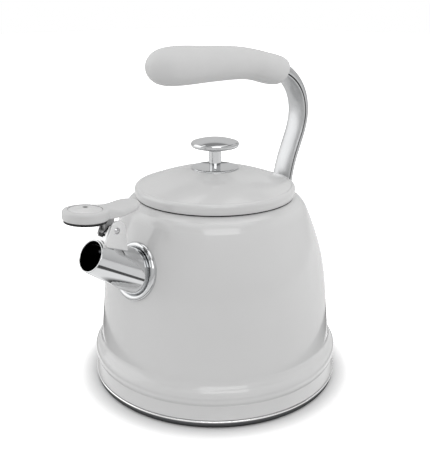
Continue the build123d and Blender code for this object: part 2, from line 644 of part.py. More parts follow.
# Rigid core inside the grip, which holds the strap's tang
with BuildPart() as core_outside:
    with BuildSketch(Plane.XZ):
        with BuildLine():
            top = Spline((-54.0, 277.0), (-17.0, 276.8), (17.5, 275.8), (60.0, 269.5))
            Polyline(top @ 1, (60.0, 258.5), (45.0, 260.6), (17.5, 263.4), (-54.0, 264.6), top @ 0)
        make_face()
    extrude(amount=CORE_HALF_WIDTH, both=True)

with BuildPart() as grip_core:
    add(core_outside.part)
    add(handle_strap.part, mode=Mode.SUBTRACT)
    with Locations(*[Location((x, 0, z), (90, 0, 0)) for x, z in CORE_PIN_PLACES]):
        Cylinder(SCREW_RADIUS, THROUGH, mode=Mode.SUBTRACT)
finish(grip_core.part, "grip_core")

with BuildPart() as grip_pins:
    with Locations(*[Location((x, 0, z), (90, 0, 0)) for x, z in CORE_PIN_PLACES]):
        Cylinder(SCREW_RADIUS, 2 * CORE_HALF_WIDTH)
finish(grip_pins.part, "grip_pins")

with BuildPart() as handle_grip:
    add(grip_outside.part)
    add(core_outside.part, mode=Mode.SUBTRACT)
    add(handle_strap.part, mode=Mode.SUBTRACT)
finish(handle_grip.part, "handle_grip")

# Foot fasteners: axes square to the wall, heads inside the vessel
with BuildPart() as handle_backing_plate:
    with BuildSketch(foot_plane.offset(-PLATE_UNDER)):
        RectangleRounded(18.0, 34.0, 8.0)
    extrude(amount=3 * PLATE_UNDER)
    add(body_inside.part, mode=Mode.INTERSECT)
    with BuildSketch(foot_plane.offset(-THROUGH / 2)):
        with Locations(*SCREW_PLACES):
            Circle(SCREW_RADIUS)
    extrude(amount=THROUGH, mode=Mode.SUBTRACT)
finish(handle_backing_plate.part, "handle_backing_plate")

with BuildPart() as screw_seals:
    with BuildSketch(foot_plane.offset(-PLATE_UNDER)):
        with Locations(*SCREW_PLACES):
            Circle(FOOT_SEAL_RADIUS)
            Circle(SCREW_RADIUS, mode=Mode.SUBTRACT)
    extrude(amount=-FOOT_SEAL)
finish(screw_seals.part, "screw_seals")

head_depth = PLATE_UNDER + FOOT_SEAL
with BuildPart() as handle_screws:
    with BuildSketch(foot_plane.offset(-head_depth)):
        with Locations(*SCREW_PLACES):
            Circle(HEAD_RADIUS)
    extrude(amount=-HEAD_HEIGHT)
    with BuildSketch(foot_plane.offset(-head_depth)):
        with Locations(*SCREW_PLACES):
            Circle(SCREW_RADIUS)
    extrude(amount=head_depth + SCREW_GRIP)
finish(handle_screws.part, "handle_screws")
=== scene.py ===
"""Looks of a stovetop whistling kettle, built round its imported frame."""

import json
import math

import bmesh
import bpy
import numpy as np
from mathutils import Matrix, Vector


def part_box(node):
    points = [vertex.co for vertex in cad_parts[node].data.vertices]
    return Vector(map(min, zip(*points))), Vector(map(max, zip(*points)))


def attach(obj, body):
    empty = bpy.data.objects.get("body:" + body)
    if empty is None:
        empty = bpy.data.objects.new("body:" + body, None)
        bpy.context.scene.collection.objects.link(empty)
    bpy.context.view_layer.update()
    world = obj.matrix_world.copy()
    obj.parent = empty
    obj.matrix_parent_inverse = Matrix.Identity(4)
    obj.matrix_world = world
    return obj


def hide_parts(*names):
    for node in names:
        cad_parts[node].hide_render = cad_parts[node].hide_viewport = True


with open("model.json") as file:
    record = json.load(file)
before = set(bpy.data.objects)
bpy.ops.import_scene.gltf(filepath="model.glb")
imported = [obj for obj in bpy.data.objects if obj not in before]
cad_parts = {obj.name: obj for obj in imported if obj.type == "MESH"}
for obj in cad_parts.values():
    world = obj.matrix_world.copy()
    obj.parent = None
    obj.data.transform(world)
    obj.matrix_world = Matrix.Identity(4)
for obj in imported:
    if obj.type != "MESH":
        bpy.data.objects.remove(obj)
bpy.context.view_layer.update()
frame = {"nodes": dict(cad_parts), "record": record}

bl_info = {
    "name": "Whistling kettle looks",
    "version": (1, 0, 0),
    "blender": (4, 5, 0),
    "location": "3D View > Sidebar > Kettle",
    "description": "Finishes, fine pieces and studio of a stovetop whistling kettle",
    "category": "Object",
}

MM = 0.001
SHARP_CORNER = math.radians(35)


def srgb(code):
    """Linear colour of an sRGB hex value."""
    channels = [int(code[i:i + 2], 16) / 255 for i in (1, 3, 5)]
    return tuple(c / 12.92 if c <= 0.04045 else ((c + 0.055) / 1.055) ** 2.4 for c in channels)


# ---- Sizes and colours that a user may change ----

class KettleFinishes(bpy.types.PropertyGroup):
    """Colours of the kettle's finishes."""

    enamel: bpy.props.FloatVectorProperty(
        name="Enamel", description="Colour of the body and the lid", subtype="COLOR",
        default=srgb("#C9C9C9"), min=0, max=1)
    grip: bpy.props.FloatVectorProperty(
        name="Grip", description="Colour of the soft-touch grip", subtype="COLOR",
        default=srgb("#C6C6C6"), min=0, max=1)
    lever: bpy.props.FloatVectorProperty(
        name="Whistle lever", description="Colour of the moulded lever", subtype="COLOR",
        default=srgb("#C2C2C2"), min=0, max=1)


class KettleStudio(bpy.types.PropertyGroup):
    """Light and camera of the studio."""

    sky: bpy.props.FloatProperty(
        name="Sky", description="Brightness of the white room", default=0.74, min=0)
    top_light: bpy.props.FloatProperty(
        name="Top light", description="Power of the overhead softbox", default=4.7, min=0, subtype="POWER")
    side_light: bpy.props.FloatProperty(
        name="Side light", description="Power of the softbox at each side", default=5.6, min=0,
        subtype="POWER")
    front_light: bpy.props.FloatProperty(
        name="Front light", description="Power of the high softbox by the camera", default=6.3, min=0,
        subtype="POWER")
    lens: bpy.props.FloatProperty(
        name="Lens", description="Focal length of the camera", default=51.96, min=1)


# ---- Materials ----

def put(tree, kind, inputs=None, **settings):
    """Add one node with its settings, its input values and its links, and return it."""
    made = tree.nodes.new(kind)
    for name, value in settings.items():
        setattr(made, name, value)
    for name, value in (inputs or {}).items():
        if isinstance(value, bpy.types.NodeSocket):
            tree.links.new(value, made.inputs[name])
        else:
            made.inputs[name].default_value = value
    return made


def new_material(name):
    """An empty node material with its output and a Principled shader, as (material, tree, shader)."""
    material = bpy.data.materials.new(name)
    material.use_nodes = True
    tree = material.node_tree
    tree.nodes.clear()
    shader = put(tree, "ShaderNodeBsdfPrincipled")
    put(tree, "ShaderNodeOutputMaterial", {"Surface": shader.outputs[0]})
    return material, tree, shader


def noise(tree, size_mm, stretch=(1, 1, 1), detail=2.0):
    """Noise whose blotches are about size_mm across, stretched along the part's axes."""
    place = put(tree, "ShaderNodeTexCoord")
    scaled = put(tree, "ShaderNodeMapping", {"Vector": place.outputs["Object"],
                                             "Scale": [1 / (size_mm * MM * s) for s in stretch]})
    return put(tree, "ShaderNodeTexNoise", {"Vector": scaled.outputs[0], "Scale": 1.0, "Detail": detail})


def ramp(tree, value, span, low=0.0, high=1.0, **settings):
    """A value that runs from low to high while another crosses span."""
    return put(tree, "ShaderNodeMapRange", {"Value": value, "From Min": span[0], "From Max": span[1],
                                            "To Min": low, "To Max": high}, **settings).outputs[0]


def times(tree, one, two):
    """The product of two values."""
    return put(tree, "ShaderNodeMath", {0: one, 1: two}, operation="MULTIPLY").outputs[0]


def mix(tree, share, low, high):
    """A colour that runs from low to high with share."""
    return put(tree, "ShaderNodeMix", {0: share, 6: low, 7: high}, data_type="RGBA").outputs[2]


def vary(tree, source, low, high):
    """A value that runs from low to high over the middle of a noise."""
    return ramp(tree, source.outputs[0], (0.3, 0.7), low, high)


def vary_colour(tree, source, low, high):
    """A colour that runs from low to high over the middle of a noise."""
    return mix(tree, vary(tree, source, 0.0, 1.0), (*low, 1), (*high, 1))


def bump(tree, source, height_mm):
    """Normals of a relief height_mm deep."""
    inputs = {"Height": source.outputs[0], "Distance": height_mm * MM, "Strength": 1.0}
    return put(tree, "ShaderNodeBump", inputs).outputs[0]


def shade(colour, factor):
    """The same colour, darker or lighter."""
    return tuple(c * factor for c in colour)


def vitreous_enamel(colour):
    """Pale grey vitreous enamel, sprayed and fired: a glassy skin with a slow orange peel, a little milky."""
    material, tree, shader = new_material("vitreous_enamel")
    cloud = noise(tree, 60)
    clouded = vary_colour(tree, cloud, shade(colour, 0.985), shade(colour, 1.015))
    tree.links.new(clouded, shader.inputs["Base Color"])
    tree.links.new(vary(tree, noise(tree, 25), 0.10, 0.14), shader.inputs["Roughness"])
    shader.inputs["IOR"].default_value = 1.52
    shader.inputs["Coat Weight"].default_value = 0.25
    shader.inputs["Coat Roughness"].default_value = 0.04
    tree.links.new(bump(tree, noise(tree, 9, detail=1.0), 0.012), shader.inputs["Normal"])
    return material


def polished_steel(name, colour, roughness):
    """Polished stainless steel: buffing leaves a slight haze and hair-fine lines."""
    material, tree, shader = new_material(name)
    shader.inputs["Metallic"].default_value = 1.0
    haze = noise(tree, 8)
    tree.links.new(vary_colour(tree, haze, shade(colour, 0.97), colour), shader.inputs["Base Color"])
    lines = noise(tree, 0.5, detail=3.0)
    tree.links.new(vary(tree, lines, roughness * 0.7, roughness * 1.4), shader.inputs["Roughness"])
    tree.links.new(bump(tree, lines, 0.0006), shader.inputs["Normal"])
    return material


def brushed_steel(name, colour, roughness, stretch):
    """Satin stainless steel, brushed one way: fine lines that spread the shine across themselves."""
    material, tree, shader = new_material(name)
    shader.inputs["Metallic"].default_value = 1.0
    lines = noise(tree, 0.4, stretch, detail=4.0)
    tree.links.new(vary_colour(tree, lines, shade(colour, 0.90), colour), shader.inputs["Base Color"])
    tree.links.new(vary(tree, lines, roughness * 0.8, roughness * 1.2), shader.inputs["Roughness"])
    tree.links.new(bump(tree, lines, 0.003), shader.inputs["Normal"])
    return material


# Above these heights the cap is painted near-white: a painted highlight line on the polished lip.
LIP_HIGHLIGHT_HEIGHTS = (5.7 * MM, 6.1 * MM)     # heights over which the spun side gives way to the bright lip
TURNING_LINE = 0.25 * MM


def spun_base_steel():
    """Stainless cap of the base: a polished lip, painted near-white as a highlight line, over a spun side
    that keeps its turning lines and is darkened in part as painted shade.
    """
    material, tree, shader = new_material("spun_base_steel")
    shader.inputs["Metallic"].default_value = 1.0
    place = put(tree, "ShaderNodeTexCoord").outputs["Object"]
    height = put(tree, "ShaderNodeSeparateXYZ", {0: place}).outputs[2]
    lip = ramp(tree, height, LIP_HIGHLIGHT_HEIGHTS)
    rings = put(tree, "ShaderNodeTexNoise", {"W": times(tree, height, 1 / TURNING_LINE), "Scale": 1.0,
                                             "Detail": 3.0}, noise_dimensions="1D")
    # Darker grey of the spun side: partly its own tone, partly painted shade.
    side = vary_colour(tree, rings, srgb("#86878A"), srgb("#A9AAAC"))
    tree.links.new(mix(tree, lip, side, (*srgb("#F4F4F4"), 1)), shader.inputs["Base Color"])
    tree.links.new(ramp(tree, lip, (0.0, 1.0), 0.38, 0.12), shader.inputs["Roughness"])
    return material


def moulded_plastic(name, colour, roughness, grain_mm, grain_depth_mm, ior):
    """Injection-moulded plastic: the tool's fine spark-eroded grain breaks up the shine."""
    material, tree, shader = new_material(name)
    cloud = noise(tree, 30)
    clouded = vary_colour(tree, cloud, shade(colour, 0.98), shade(colour, 1.02))
    tree.links.new(clouded, shader.inputs["Base Color"])
    tree.links.new(vary(tree, noise(tree, 5), roughness * 0.92, roughness * 1.08), shader.inputs["Roughness"])
    shader.inputs["IOR"].default_value = ior
    tree.links.new(bump(tree, noise(tree, grain_mm, detail=1.0), grain_depth_mm), shader.inputs["Normal"])
    return material


def blackened_steel():
    """Oiled black spring steel: dark and half dull, lighter where it rubs."""
    material, tree, shader = new_material("blackened_spring_steel")
    shader.inputs["Metallic"].default_value = 1.0
    wear = noise(tree, 1.5)
    tree.links.new(vary_colour(tree, wear, srgb("#1B1B1C"), srgb("#3A3A3C")), shader.inputs["Base Color"])
    tree.links.new(vary(tree, wear, 0.3, 0.5), shader.inputs["Roughness"])
    return material


def make_materials(finishes):
    """Every material, by the record slot that it finishes."""
    return {
        "enamel": vitreous_enamel(tuple(finishes.enamel)),
        "chrome": polished_steel("mirror_polished_steel", srgb("#D2D3D4"), 0.05),
        "strap_steel": polished_steel("polished_bar_steel", srgb("#C8C9CA"), 0.32),
        "satin_steel": brushed_steel("satin_sheet_steel", srgb("#F4F4F4"), 0.42, (1, 12, 1)),
        "pin_steel": polished_steel("bright_fastener_steel", srgb("#C8C8C9"), 0.12),
        "plain_steel": brushed_steel("drawn_sheet_steel", srgb("#B4B5B6"), 0.30, (1, 1, 10)),
        "base_steel": spun_base_steel(),
        "aluminium_core": brushed_steel("rolled_aluminium", srgb("#C9CACC"), 0.45, (20, 1, 1)),
        "black_spring": blackened_steel(),
        "black_rubber": moulded_plastic("black_silicone_rubber", srgb("#161617"), 0.55, 0.4, 0.01, 1.43),
        "lever_plastic": moulded_plastic("moulded_abs", tuple(finishes.lever), 0.36, 0.35, 0.006, 1.54),
        "grip_soft_touch": moulded_plastic("soft_touch_elastomer", tuple(finishes.grip), 0.56, 0.45, 0.012,
                                           1.48),
        "core_nylon": moulded_plastic("glass_filled_nylon", srgb("#2A2A2B"), 0.5, 0.8, 0.01, 1.53),
    }


MATERIALS = {}


def finish_nodes(*names):
    """Give each CAD node the material of its record slot."""
    slots = {part["node"]: part["material_slot"] for part in frame["record"]["subparts"]}
    for name in names:
        for slot in frame["nodes"][name].material_slots:
            slot.material = MATERIALS[slots[name]]


# ---- Pieces ----

class KettleOperator:
    """What the kettle's operators share."""

    bl_options = {"REGISTER", "UNDO"}


class OBJECT_OT_kettle_materials(KettleOperator, bpy.types.Operator):
    """Make the materials from the finishes"""

    bl_idname = "object.kettle_materials"
    bl_label = "Materials"

    def execute(self, context):
        MATERIALS.update(make_materials(context.scene.kettle_finishes))
        return {"FINISHED"}


class OBJECT_OT_kettle_vessel(KettleOperator, bpy.types.Operator):
    """Finish the enamelled body and its base"""

    bl_idname = "object.kettle_vessel"
    bl_label = "Vessel"

    def execute(self, context):
        finish_nodes("body_shell", "floor_pan", "base_core", "base_cap")
        return {"FINISHED"}


class OBJECT_OT_kettle_spout(KettleOperator, bpy.types.Operator):
    """Finish the spout and its rings"""

    bl_idname = "object.kettle_spout"
    bl_label = "Spout"

    def execute(self, context):
        finish_nodes("spout_tube", "spout_ring", "spout_backing_ring")
        return {"FINISHED"}


class OBJECT_OT_kettle_bracket(KettleOperator, bpy.types.Operator):
    """Finish the whistle's bracket, pin, spring and clip"""

    bl_idname = "object.kettle_bracket"
    bl_label = "Bracket"

    def execute(self, context):
        finish_nodes("whistle_bracket", "lever_pin", "click_spring", "spring_clip")
        return {"FINISHED"}


# Lever, in its cap's frame: u backwards along the arm, v across, w up along the cap's axis
CAP_RADIUS = 17.0 * MM
CAP_TILT = math.radians(3.8)
CAP_TOP = 9.7 * MM
SEAL_HEIGHT = 1.8 * MM
ARM_HALF_WIDTH = 13.2 * MM
ARM_CENTRE = 34.3 * MM       # middle of the arm's round end
WAIST = (12.5 * MM, 26.0 * MM)   # where the cap's circle runs into the arm's sides
# Along u, the top dips behind the cap and rises to the thumb plate, and the underside sweeps up
DIP, DIP_SPAN = 1.8 * MM, (10 * MM, 25 * MM)
TOP_RISE, TOP_RISE_SPAN = 3.7 * MM, (25 * MM, 52 * MM)
UNDER_RISE, UNDER_RISE_SPAN = 6.9 * MM, (15 * MM, 60 * MM)
TOP_ROUND, UNDER_ROUND = 2.2 * MM, 1.2 * MM
PIN_RADIUS = 1.5 * MM
PIN_PLAY = 0.05 * MM
INSERT_RECESS = (12.8 * MM, 8.1 * MM)    # radius and floor of the insert's seat
BORE_RADIUS = 10.2 * MM
EAR_INSIDE, EAR_OUTSIDE = 1.3 * MM, 4.3 * MM
EAR_RADIUS = 4.0 * MM
EAR_FRONT, EAR_BACK = 5.0 * MM, 5.5 * MM     # reach of its root either side of the pin
EAR_ROOT = 3.2 * MM                          # height of the root, inside the arm
PAD_RADIUS, PAD_OUTSIDE = 3.6 * MM, 6.7 * MM
PAD_ROOT = EAR_OUTSIDE - 0.5 * MM
THROUGH = 20 * MM        # length of a cutter that goes right through, each way
SLIVER = 0.001 * MM      # shorter edges are dissolved after a cut


def blend(value, low, high):
    """Smooth rise from 0 at low to 1 at high."""
    t = min(max((value - low) / (high - low), 0), 1)
    return t * t * (3 - 2 * t)


def lever_top(u):
    """Height of the lever's top: level over the cap, a dip behind it, and a rise to the thumb plate."""
    return CAP_TOP - DIP * blend(u, *DIP_SPAN) + TOP_RISE * blend(u, *TOP_RISE_SPAN) ** 1.1


def lever_under(u):
    """Height of the lever's underside, which sweeps up behind the cap."""
    return SEAL_HEIGHT + UNDER_RISE * blend(u, *UNDER_RISE_SPAN) ** 1.05


def lever_half_width(u):
    """Half width of the lever's plan at u: the cap's circle, the arm's sides and its round end."""
    cap = math.sqrt(max(CAP_RADIUS ** 2 - u * u, 0))
    if u <= WAIST[0]:
        return cap
    if u <= ARM_CENTRE:
        edge = math.sqrt(CAP_RADIUS ** 2 - WAIST[0] ** 2)
        return edge + (ARM_HALF_WIDTH - edge) * blend(u, *WAIST)
    return math.sqrt(max(ARM_HALF_WIDTH ** 2 - (u - ARM_CENTRE) ** 2, 0))


def lever_outline():
    """Plan of the lever as (u, v), evenly enough spaced, all the way round."""
    turns = [math.pi * i / 24 for i in range(25)]
    nose = [-CAP_RADIUS * math.cos(t) for t in turns if -CAP_RADIUS * math.cos(t) < 0]
    middle = [ARM_CENTRE * i / 20 for i in range(21)]
    end = [ARM_CENTRE + ARM_HALF_WIDTH * math.sin(t) for t in turns if 0 < t <= math.pi / 2]
    stations = nose + middle + end
    side = [(u, lever_half_width(u)) for u in stations]
    return side + [(u, -v) for u, v in reversed(side[1:-1])]


def lever_rings():
    """Rings from the middle of the top to the middle of the underside, as (share, set-back, drop, side).

    Share is how far out to the rim a ring lies, the set-back and the drop round the edges, and side is 0 for
    the top and 1 for the underside.
    """
    rings = [(0.25, 0, 0, 0), (0.6, 0, 0, 0), (1, 1.35 * TOP_ROUND, 0.1 * TOP_ROUND, 0)]
    quarter = [math.pi / 2 * i / 5 for i in range(6)]
    rings += [(1, TOP_ROUND * (1 - math.sin(t)), TOP_ROUND * (1.12 - math.cos(t)), 0) for t in quarter]
    rings += [(1, UNDER_ROUND * (1 - math.cos(t)), UNDER_ROUND * (1 - math.sin(t)), 1) for t in quarter]
    return rings + [(0.6, 0, 0, 1), (0.25, 0, 0, 1)]


def fill_lever(build):
    """The cap and arm as one closed shell of rings."""
    outline = lever_outline()
    loops = []
    for share, back, drop, side in lever_rings():
        loop = []
        for u, v in outline:
            middle_u = min(max(u, 0), ARM_CENTRE)
            reach = Vector((u - middle_u, v))
            reach = reach * share - reach.normalized() * back
            at = middle_u + reach.x
            height = lever_under(at) + drop if side else lever_top(at) - drop
            loop.append(build.verts.new((at, reach.y, height)))
        loops.append(loop)
    count = len(outline)
    for upper, lower in zip(loops, loops[1:]):
        for i in range(count):
            build.faces.new((upper[i], lower[i], lower[i - 1], upper[i - 1]))
    for loop, up in ((loops[0], True), (loops[-1], False)):
        # The innermost ring closes across the arm's middle line, strip by strip
        half = count // 2
        for i in range(half):
            a, b = loop[i], loop[i + 1]
            c, d = loop[(-i - 1) % count], loop[-i % count]
            corners = [x for n, x in enumerate((a, b, c, d)) if x not in (a, b, c, d)[:n]]
            build.faces.new(corners if not up else corners[::-1])
    bmesh.ops.recalc_face_normals(build, faces=build.faces)


def add_prism(build, outline, low, high, soften=0.35 * MM):
    """A plate with its outline in u and w, from v = low to v = high, its edges rounded."""
    sides = [[build.verts.new((u, v, w)) for u, w in outline] for v in (low, high)]
    made = [build.faces.new(sides[0]), build.faces.new(sides[1][::-1])]
    for i in range(len(outline)):
        made.append(build.faces.new((sides[0][i - 1], sides[0][i], sides[1][i], sides[1][i - 1])))
    bmesh.ops.recalc_face_normals(build, faces=made)
    rims = [edge for face in made[:2] for edge in face.edges]
    bmesh.ops.bevel(build, geom=rims, offset=soften, segments=2, affect="EDGES", clamp_overlap=True)


def join_rings(build, rings, closed=False):
    """A skin over rings of points, each joined to the next: with two end caps, or closed on itself."""
    loops = [[build.verts.new(point) for point in ring] for ring in rings]
    for one, two in zip(loops, loops[1:] + loops[:1] if closed else loops[1:]):
        for i in range(len(one)):
            build.faces.new((one[i - 1], one[i], two[i], two[i - 1]))
    if not closed:
        build.faces.new(loops[0])
        build.faces.new(loops[-1])
    bmesh.ops.recalc_face_normals(build, faces=build.faces)


def circle_points(centre, radius, count=40):
    """Points round a circle in a plane."""
    turns = [2 * math.pi * i / count for i in range(count)]
    return [(centre[0] + radius * math.cos(t), centre[1] + radius * math.sin(t)) for t in turns]


def new_piece(name, build, place=None):
    """A mesh object from a bmesh, set at place and shaded smooth except at its corners."""
    mesh = bpy.data.meshes.new(name)
    build.to_mesh(mesh)
    build.free()
    if place is not None:
        mesh.transform(place)
    piece = bpy.data.objects.new(name, mesh)
    bpy.context.scene.collection.objects.link(piece)
    mesh.shade_smooth()
    mesh.set_sharp_from_angle(angle=SHARP_CORNER)
    return piece


def cut(piece, tools):
    """Take the tools' solids out of a piece, and drop the tools."""
    for tool in tools:
        step = piece.modifiers.new("cut", "BOOLEAN")
        step.operation, step.solver, step.object = "DIFFERENCE", "EXACT", tool
        step.material_mode = "TRANSFER" if tool.data.materials else "INDEX"
    mesh = bpy.data.meshes.new_from_object(piece.evaluated_get(bpy.context.evaluated_depsgraph_get()))
    piece.modifiers.clear()
    piece.data = mesh
    build = bmesh.new()
    build.from_mesh(mesh)
    bmesh.ops.dissolve_degenerate(build, dist=SLIVER, edges=build.edges)
    bmesh.ops.triangulate(build, faces=[face for face in build.faces if len(face.verts) > 4])
    build.to_mesh(mesh)
    build.free()
    mesh.validate()
    mesh.shade_smooth()
    mesh.set_sharp_from_angle(angle=SHARP_CORNER)
    for tool in tools:
        bpy.data.objects.remove(tool)


def bore(name, place, centre, radius, low, high, along_v=False):
    """A round cutter: along w, or along v when along_v is set."""
    build = bmesh.new()
    circle = circle_points(centre, radius, 72)
    join_rings(build, [[(x, level, y) if along_v else (x, y, level) for x, y in circle]
                       for level in (low, high)])
    return new_piece(name, build, place)


def box_middle(name):
    """The middle of a CAD node's box."""
    low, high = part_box(name)
    return (Vector(low) + Vector(high)) / 2


def lever_place():
    """The cap's frame, stood on the underside of its seal."""
    up = Vector((math.sin(CAP_TILT), 0, math.cos(CAP_TILT)))
    back = Vector((up.z, 0, -up.x))
    foot = box_middle("cap_seal") - up * SEAL_HEIGHT / 2
    turn = Matrix((back, Vector((0, 1, 0)), up)).transposed().to_4x4()
    return Matrix.Translation(foot) @ turn


def make_lever():
    """The moulded lever: a round cap, an arm that ends in a thumb plate, and two ears on the pin."""
    place = lever_place()
    pin = place.inverted() @ box_middle("lever_pin")
    middle = (pin.x, pin.z)
    build = bmesh.new()
    fill_lever(build)
    round_end = [(x, z) for x, z in circle_points(middle, EAR_RADIUS) if z <= middle[1]]
    round_end.sort(key=lambda point: point[0])
    ear = round_end + [(middle[0] + EAR_BACK, EAR_ROOT), (middle[0] - EAR_FRONT, EAR_ROOT)]
    for side in (-1, 1):
        add_prism(build, ear, side * EAR_INSIDE, side * EAR_OUTSIDE)
        add_prism(build, circle_points(middle, PAD_RADIUS), side * PAD_ROOT, side * PAD_OUTSIDE)
    lever = new_piece("whistle_lever_moulding", build, place)
    cut(lever, [bore("recess", place, (0, 0), *INSERT_RECESS, THROUGH),
                bore("seat", place, (0, 0), BORE_RADIUS, -THROUGH, THROUGH),
                bore("pin_hole", place, middle, PIN_RADIUS + PIN_PLAY, -THROUGH, THROUGH, along_v=True)])
    lever.data.materials.append(MATERIALS["lever_plastic"])
    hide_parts("whistle_lever")
    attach(lever, "lever")


class OBJECT_OT_kettle_lever(KettleOperator, bpy.types.Operator):
    """Mould the whistle lever and finish what its cap holds"""

    bl_idname = "object.kettle_lever"
    bl_label = "Whistle lever"

    def execute(self, context):
        make_lever()
        finish_nodes("cap_seal", "whistle_insert", "whistle_cup")
        return {"FINISHED"}


# Lid seal, as radii, and heights from its underside
SEAL_INNER = 62.0 * MM
LIP_INNER, LIP_OUTER = 66.6 * MM, 67.95 * MM
LIP_DROP = (0.25 * MM, 0.65 * MM)     # below the seal, at the lip's inner and outer edge
LIP_RISE = 0.25 * MM
SEAL_STEPS = 180


def make_lid_seal():
    """The lid's flat black seal, with a lip that fills the gap under the lid's rim: partly the real seal,
    partly a dark piece put where the gap's shade falls.
    """
    low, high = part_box("lid_seal")
    under, over, outer = low[2], high[2], high[0]
    # The lip reaches almost to the lid's edge so that the gap reads black: partly painted shade.
    section = ((SEAL_INNER, under), (LIP_INNER, under), (LIP_INNER, under - LIP_DROP[0]),
               (LIP_OUTER, under - LIP_DROP[1]), (LIP_OUTER, under + LIP_RISE), (outer, under + LIP_RISE),
               (outer, over), (SEAL_INNER, over))
    turns = [2 * math.pi * i / SEAL_STEPS for i in range(SEAL_STEPS)]
    build = bmesh.new()
    rings = [[(r * math.cos(t), r * math.sin(t), z) for r, z in section] for t in turns]
    join_rings(build, rings, closed=True)
    seal = new_piece("lid_seal_lipped", build)
    seal.data.materials.append(MATERIALS["black_rubber"])
    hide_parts("lid_seal")
    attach(seal, "lid")


class OBJECT_OT_kettle_lid(KettleOperator, bpy.types.Operator):
    """Finish the lid and its knob"""

    bl_idname = "object.kettle_lid"
    bl_label = "Lid"

    def execute(self, context):
        make_lid_seal()
        finish_nodes("lid_shell", "lid_liner", "knob_dish", "knob_collar", "lid_knob", "knob_washer",
                     "knob_screw")
        return {"FINISHED"}


# Strap: points on its inner face, x and z, and the groove between its face and its back
STRAP_ROUTE = ((62.0, 262.8), (88.0, 254.0), (104.3, 238.2), (108.4, 220.9), (98.8, 193.6), (88.9, 166.9),
               (86.6, 147.4), (88.4, 125.4))
STRAP_HALF_WIDTH = 9.75 * MM
GROOVE = (2.7 * MM, 3.9 * MM)    # from the inner face, at the strap's edge
GROOVE_DEPTH = 2.4 * MM
GROOVE_STEPS = 90
CUTTER_SPARE = 1.0 * MM          # how far the cutter stands out of the strap's side
WELD = 0.002 * MM                # corners of the tessellated CAD mesh that are nearer than this are one


def smooth_curve(points, count):
    """A smooth curve through points: evenly spaced places on it, and the direction at each."""
    knots = np.array(points)
    along = np.concatenate(([0], np.cumsum(np.linalg.norm(np.diff(knots, axis=0), axis=1))))
    system, right = np.eye(len(knots)), np.zeros_like(knots)
    for i in range(1, len(knots) - 1):
        before, after = along[i] - along[i - 1], along[i + 1] - along[i]
        system[i, i - 1:i + 2] = before, 2 * (before + after), after
        right[i] = 6 * ((knots[i + 1] - knots[i]) / after - (knots[i] - knots[i - 1]) / before)
    bend = np.linalg.solve(system, right)
    places = []
    for s in np.linspace(0, along[-1], count):
        i = min(max(int(np.searchsorted(along, s)) - 1, 0), len(knots) - 2)
        width, t = along[i + 1] - along[i], s - along[i]
        rest = width - t
        places.append((bend[i] * rest ** 3 + bend[i + 1] * t ** 3) / (6 * width)
                      + (knots[i] / width - bend[i] * width / 6) * rest
                      + (knots[i + 1] / width - bend[i + 1] * width / 6) * t)
    places = np.array(places)
    ways = np.gradient(places, axis=0)
    return places, ways / np.linalg.norm(ways, axis=1)[:, None]


def groove_cutter(side):
    """The bar of metal that is milled out of one edge of the strap; its black steel passes to the cut faces
    as a painted dark line.
    """
    inside, outside = STRAP_HALF_WIDTH - GROOVE_DEPTH, STRAP_HALF_WIDTH + CUTTER_SPARE
    near, far = GROOVE
    section = ((near, inside), (near, outside), (far, outside), (far, inside))
    places, ways = smooth_curve([(x * MM, z * MM) for x, z in STRAP_ROUTE], GROOVE_STEPS)
    build = bmesh.new()
    join_rings(build, [[(x - way_z * depth, side * v, z + way_x * depth) for depth, v in section]
                       for (x, z), (way_x, way_z) in zip(places, ways)])
    cutter = new_piece("groove_cutter", build)
    # Black steel that the cut passes to the groove's faces: a painted dark line along the strap's edge.
    cutter.data.materials.append(MATERIALS["black_spring"])
    return cutter


def make_strap():
    """The handle's strap with a groove milled along each edge, whose faces take black steel: a painted dark
    line that stands in for the edge's dark reflection and the groove's shade.
    """
    source = frame["nodes"]["handle_strap"]
    build = bmesh.new()
    build.from_mesh(source.data)
    bmesh.ops.remove_doubles(build, verts=build.verts, dist=WELD)
    strap = new_piece("handle_strap_grooved", build, source.matrix_world)
    strap.data.materials.append(MATERIALS["strap_steel"])
    cut(strap, [groove_cutter(side) for side in (-1, 1)])
    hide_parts("handle_strap")
    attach(strap, "kettle")


class OBJECT_OT_kettle_handle(KettleOperator, bpy.types.Operator):
    """Finish the strap, the grip and the foot's fasteners"""

    bl_idname = "object.kettle_handle"
    bl_label = "Handle"

    def execute(self, context):
        make_strap()
        finish_nodes("handle_grip", "grip_core", "grip_pins", "handle_backing_plate",
                     "screw_seals", "handle_screws")
        return {"FINISHED"}


# ---- Stage ----

FLOOR_HALF = 6.0
LIGHTS_AIM = Vector((0, 0, 0.12))
# Spans of the distance from the floor's middle over which the painted shadow round the base and the painted
# reflection rings come and go, in metres
PAINTED_BASE_SHADOW = (0.110, 0.150)
PAINTED_REFLECTION_GLOW_START, PAINTED_REFLECTION_GLOW_END = (0.112, 0.122), (0.152, 0.158)
PAINTED_REFLECTION_GREY_END = (0.197, 0.203)


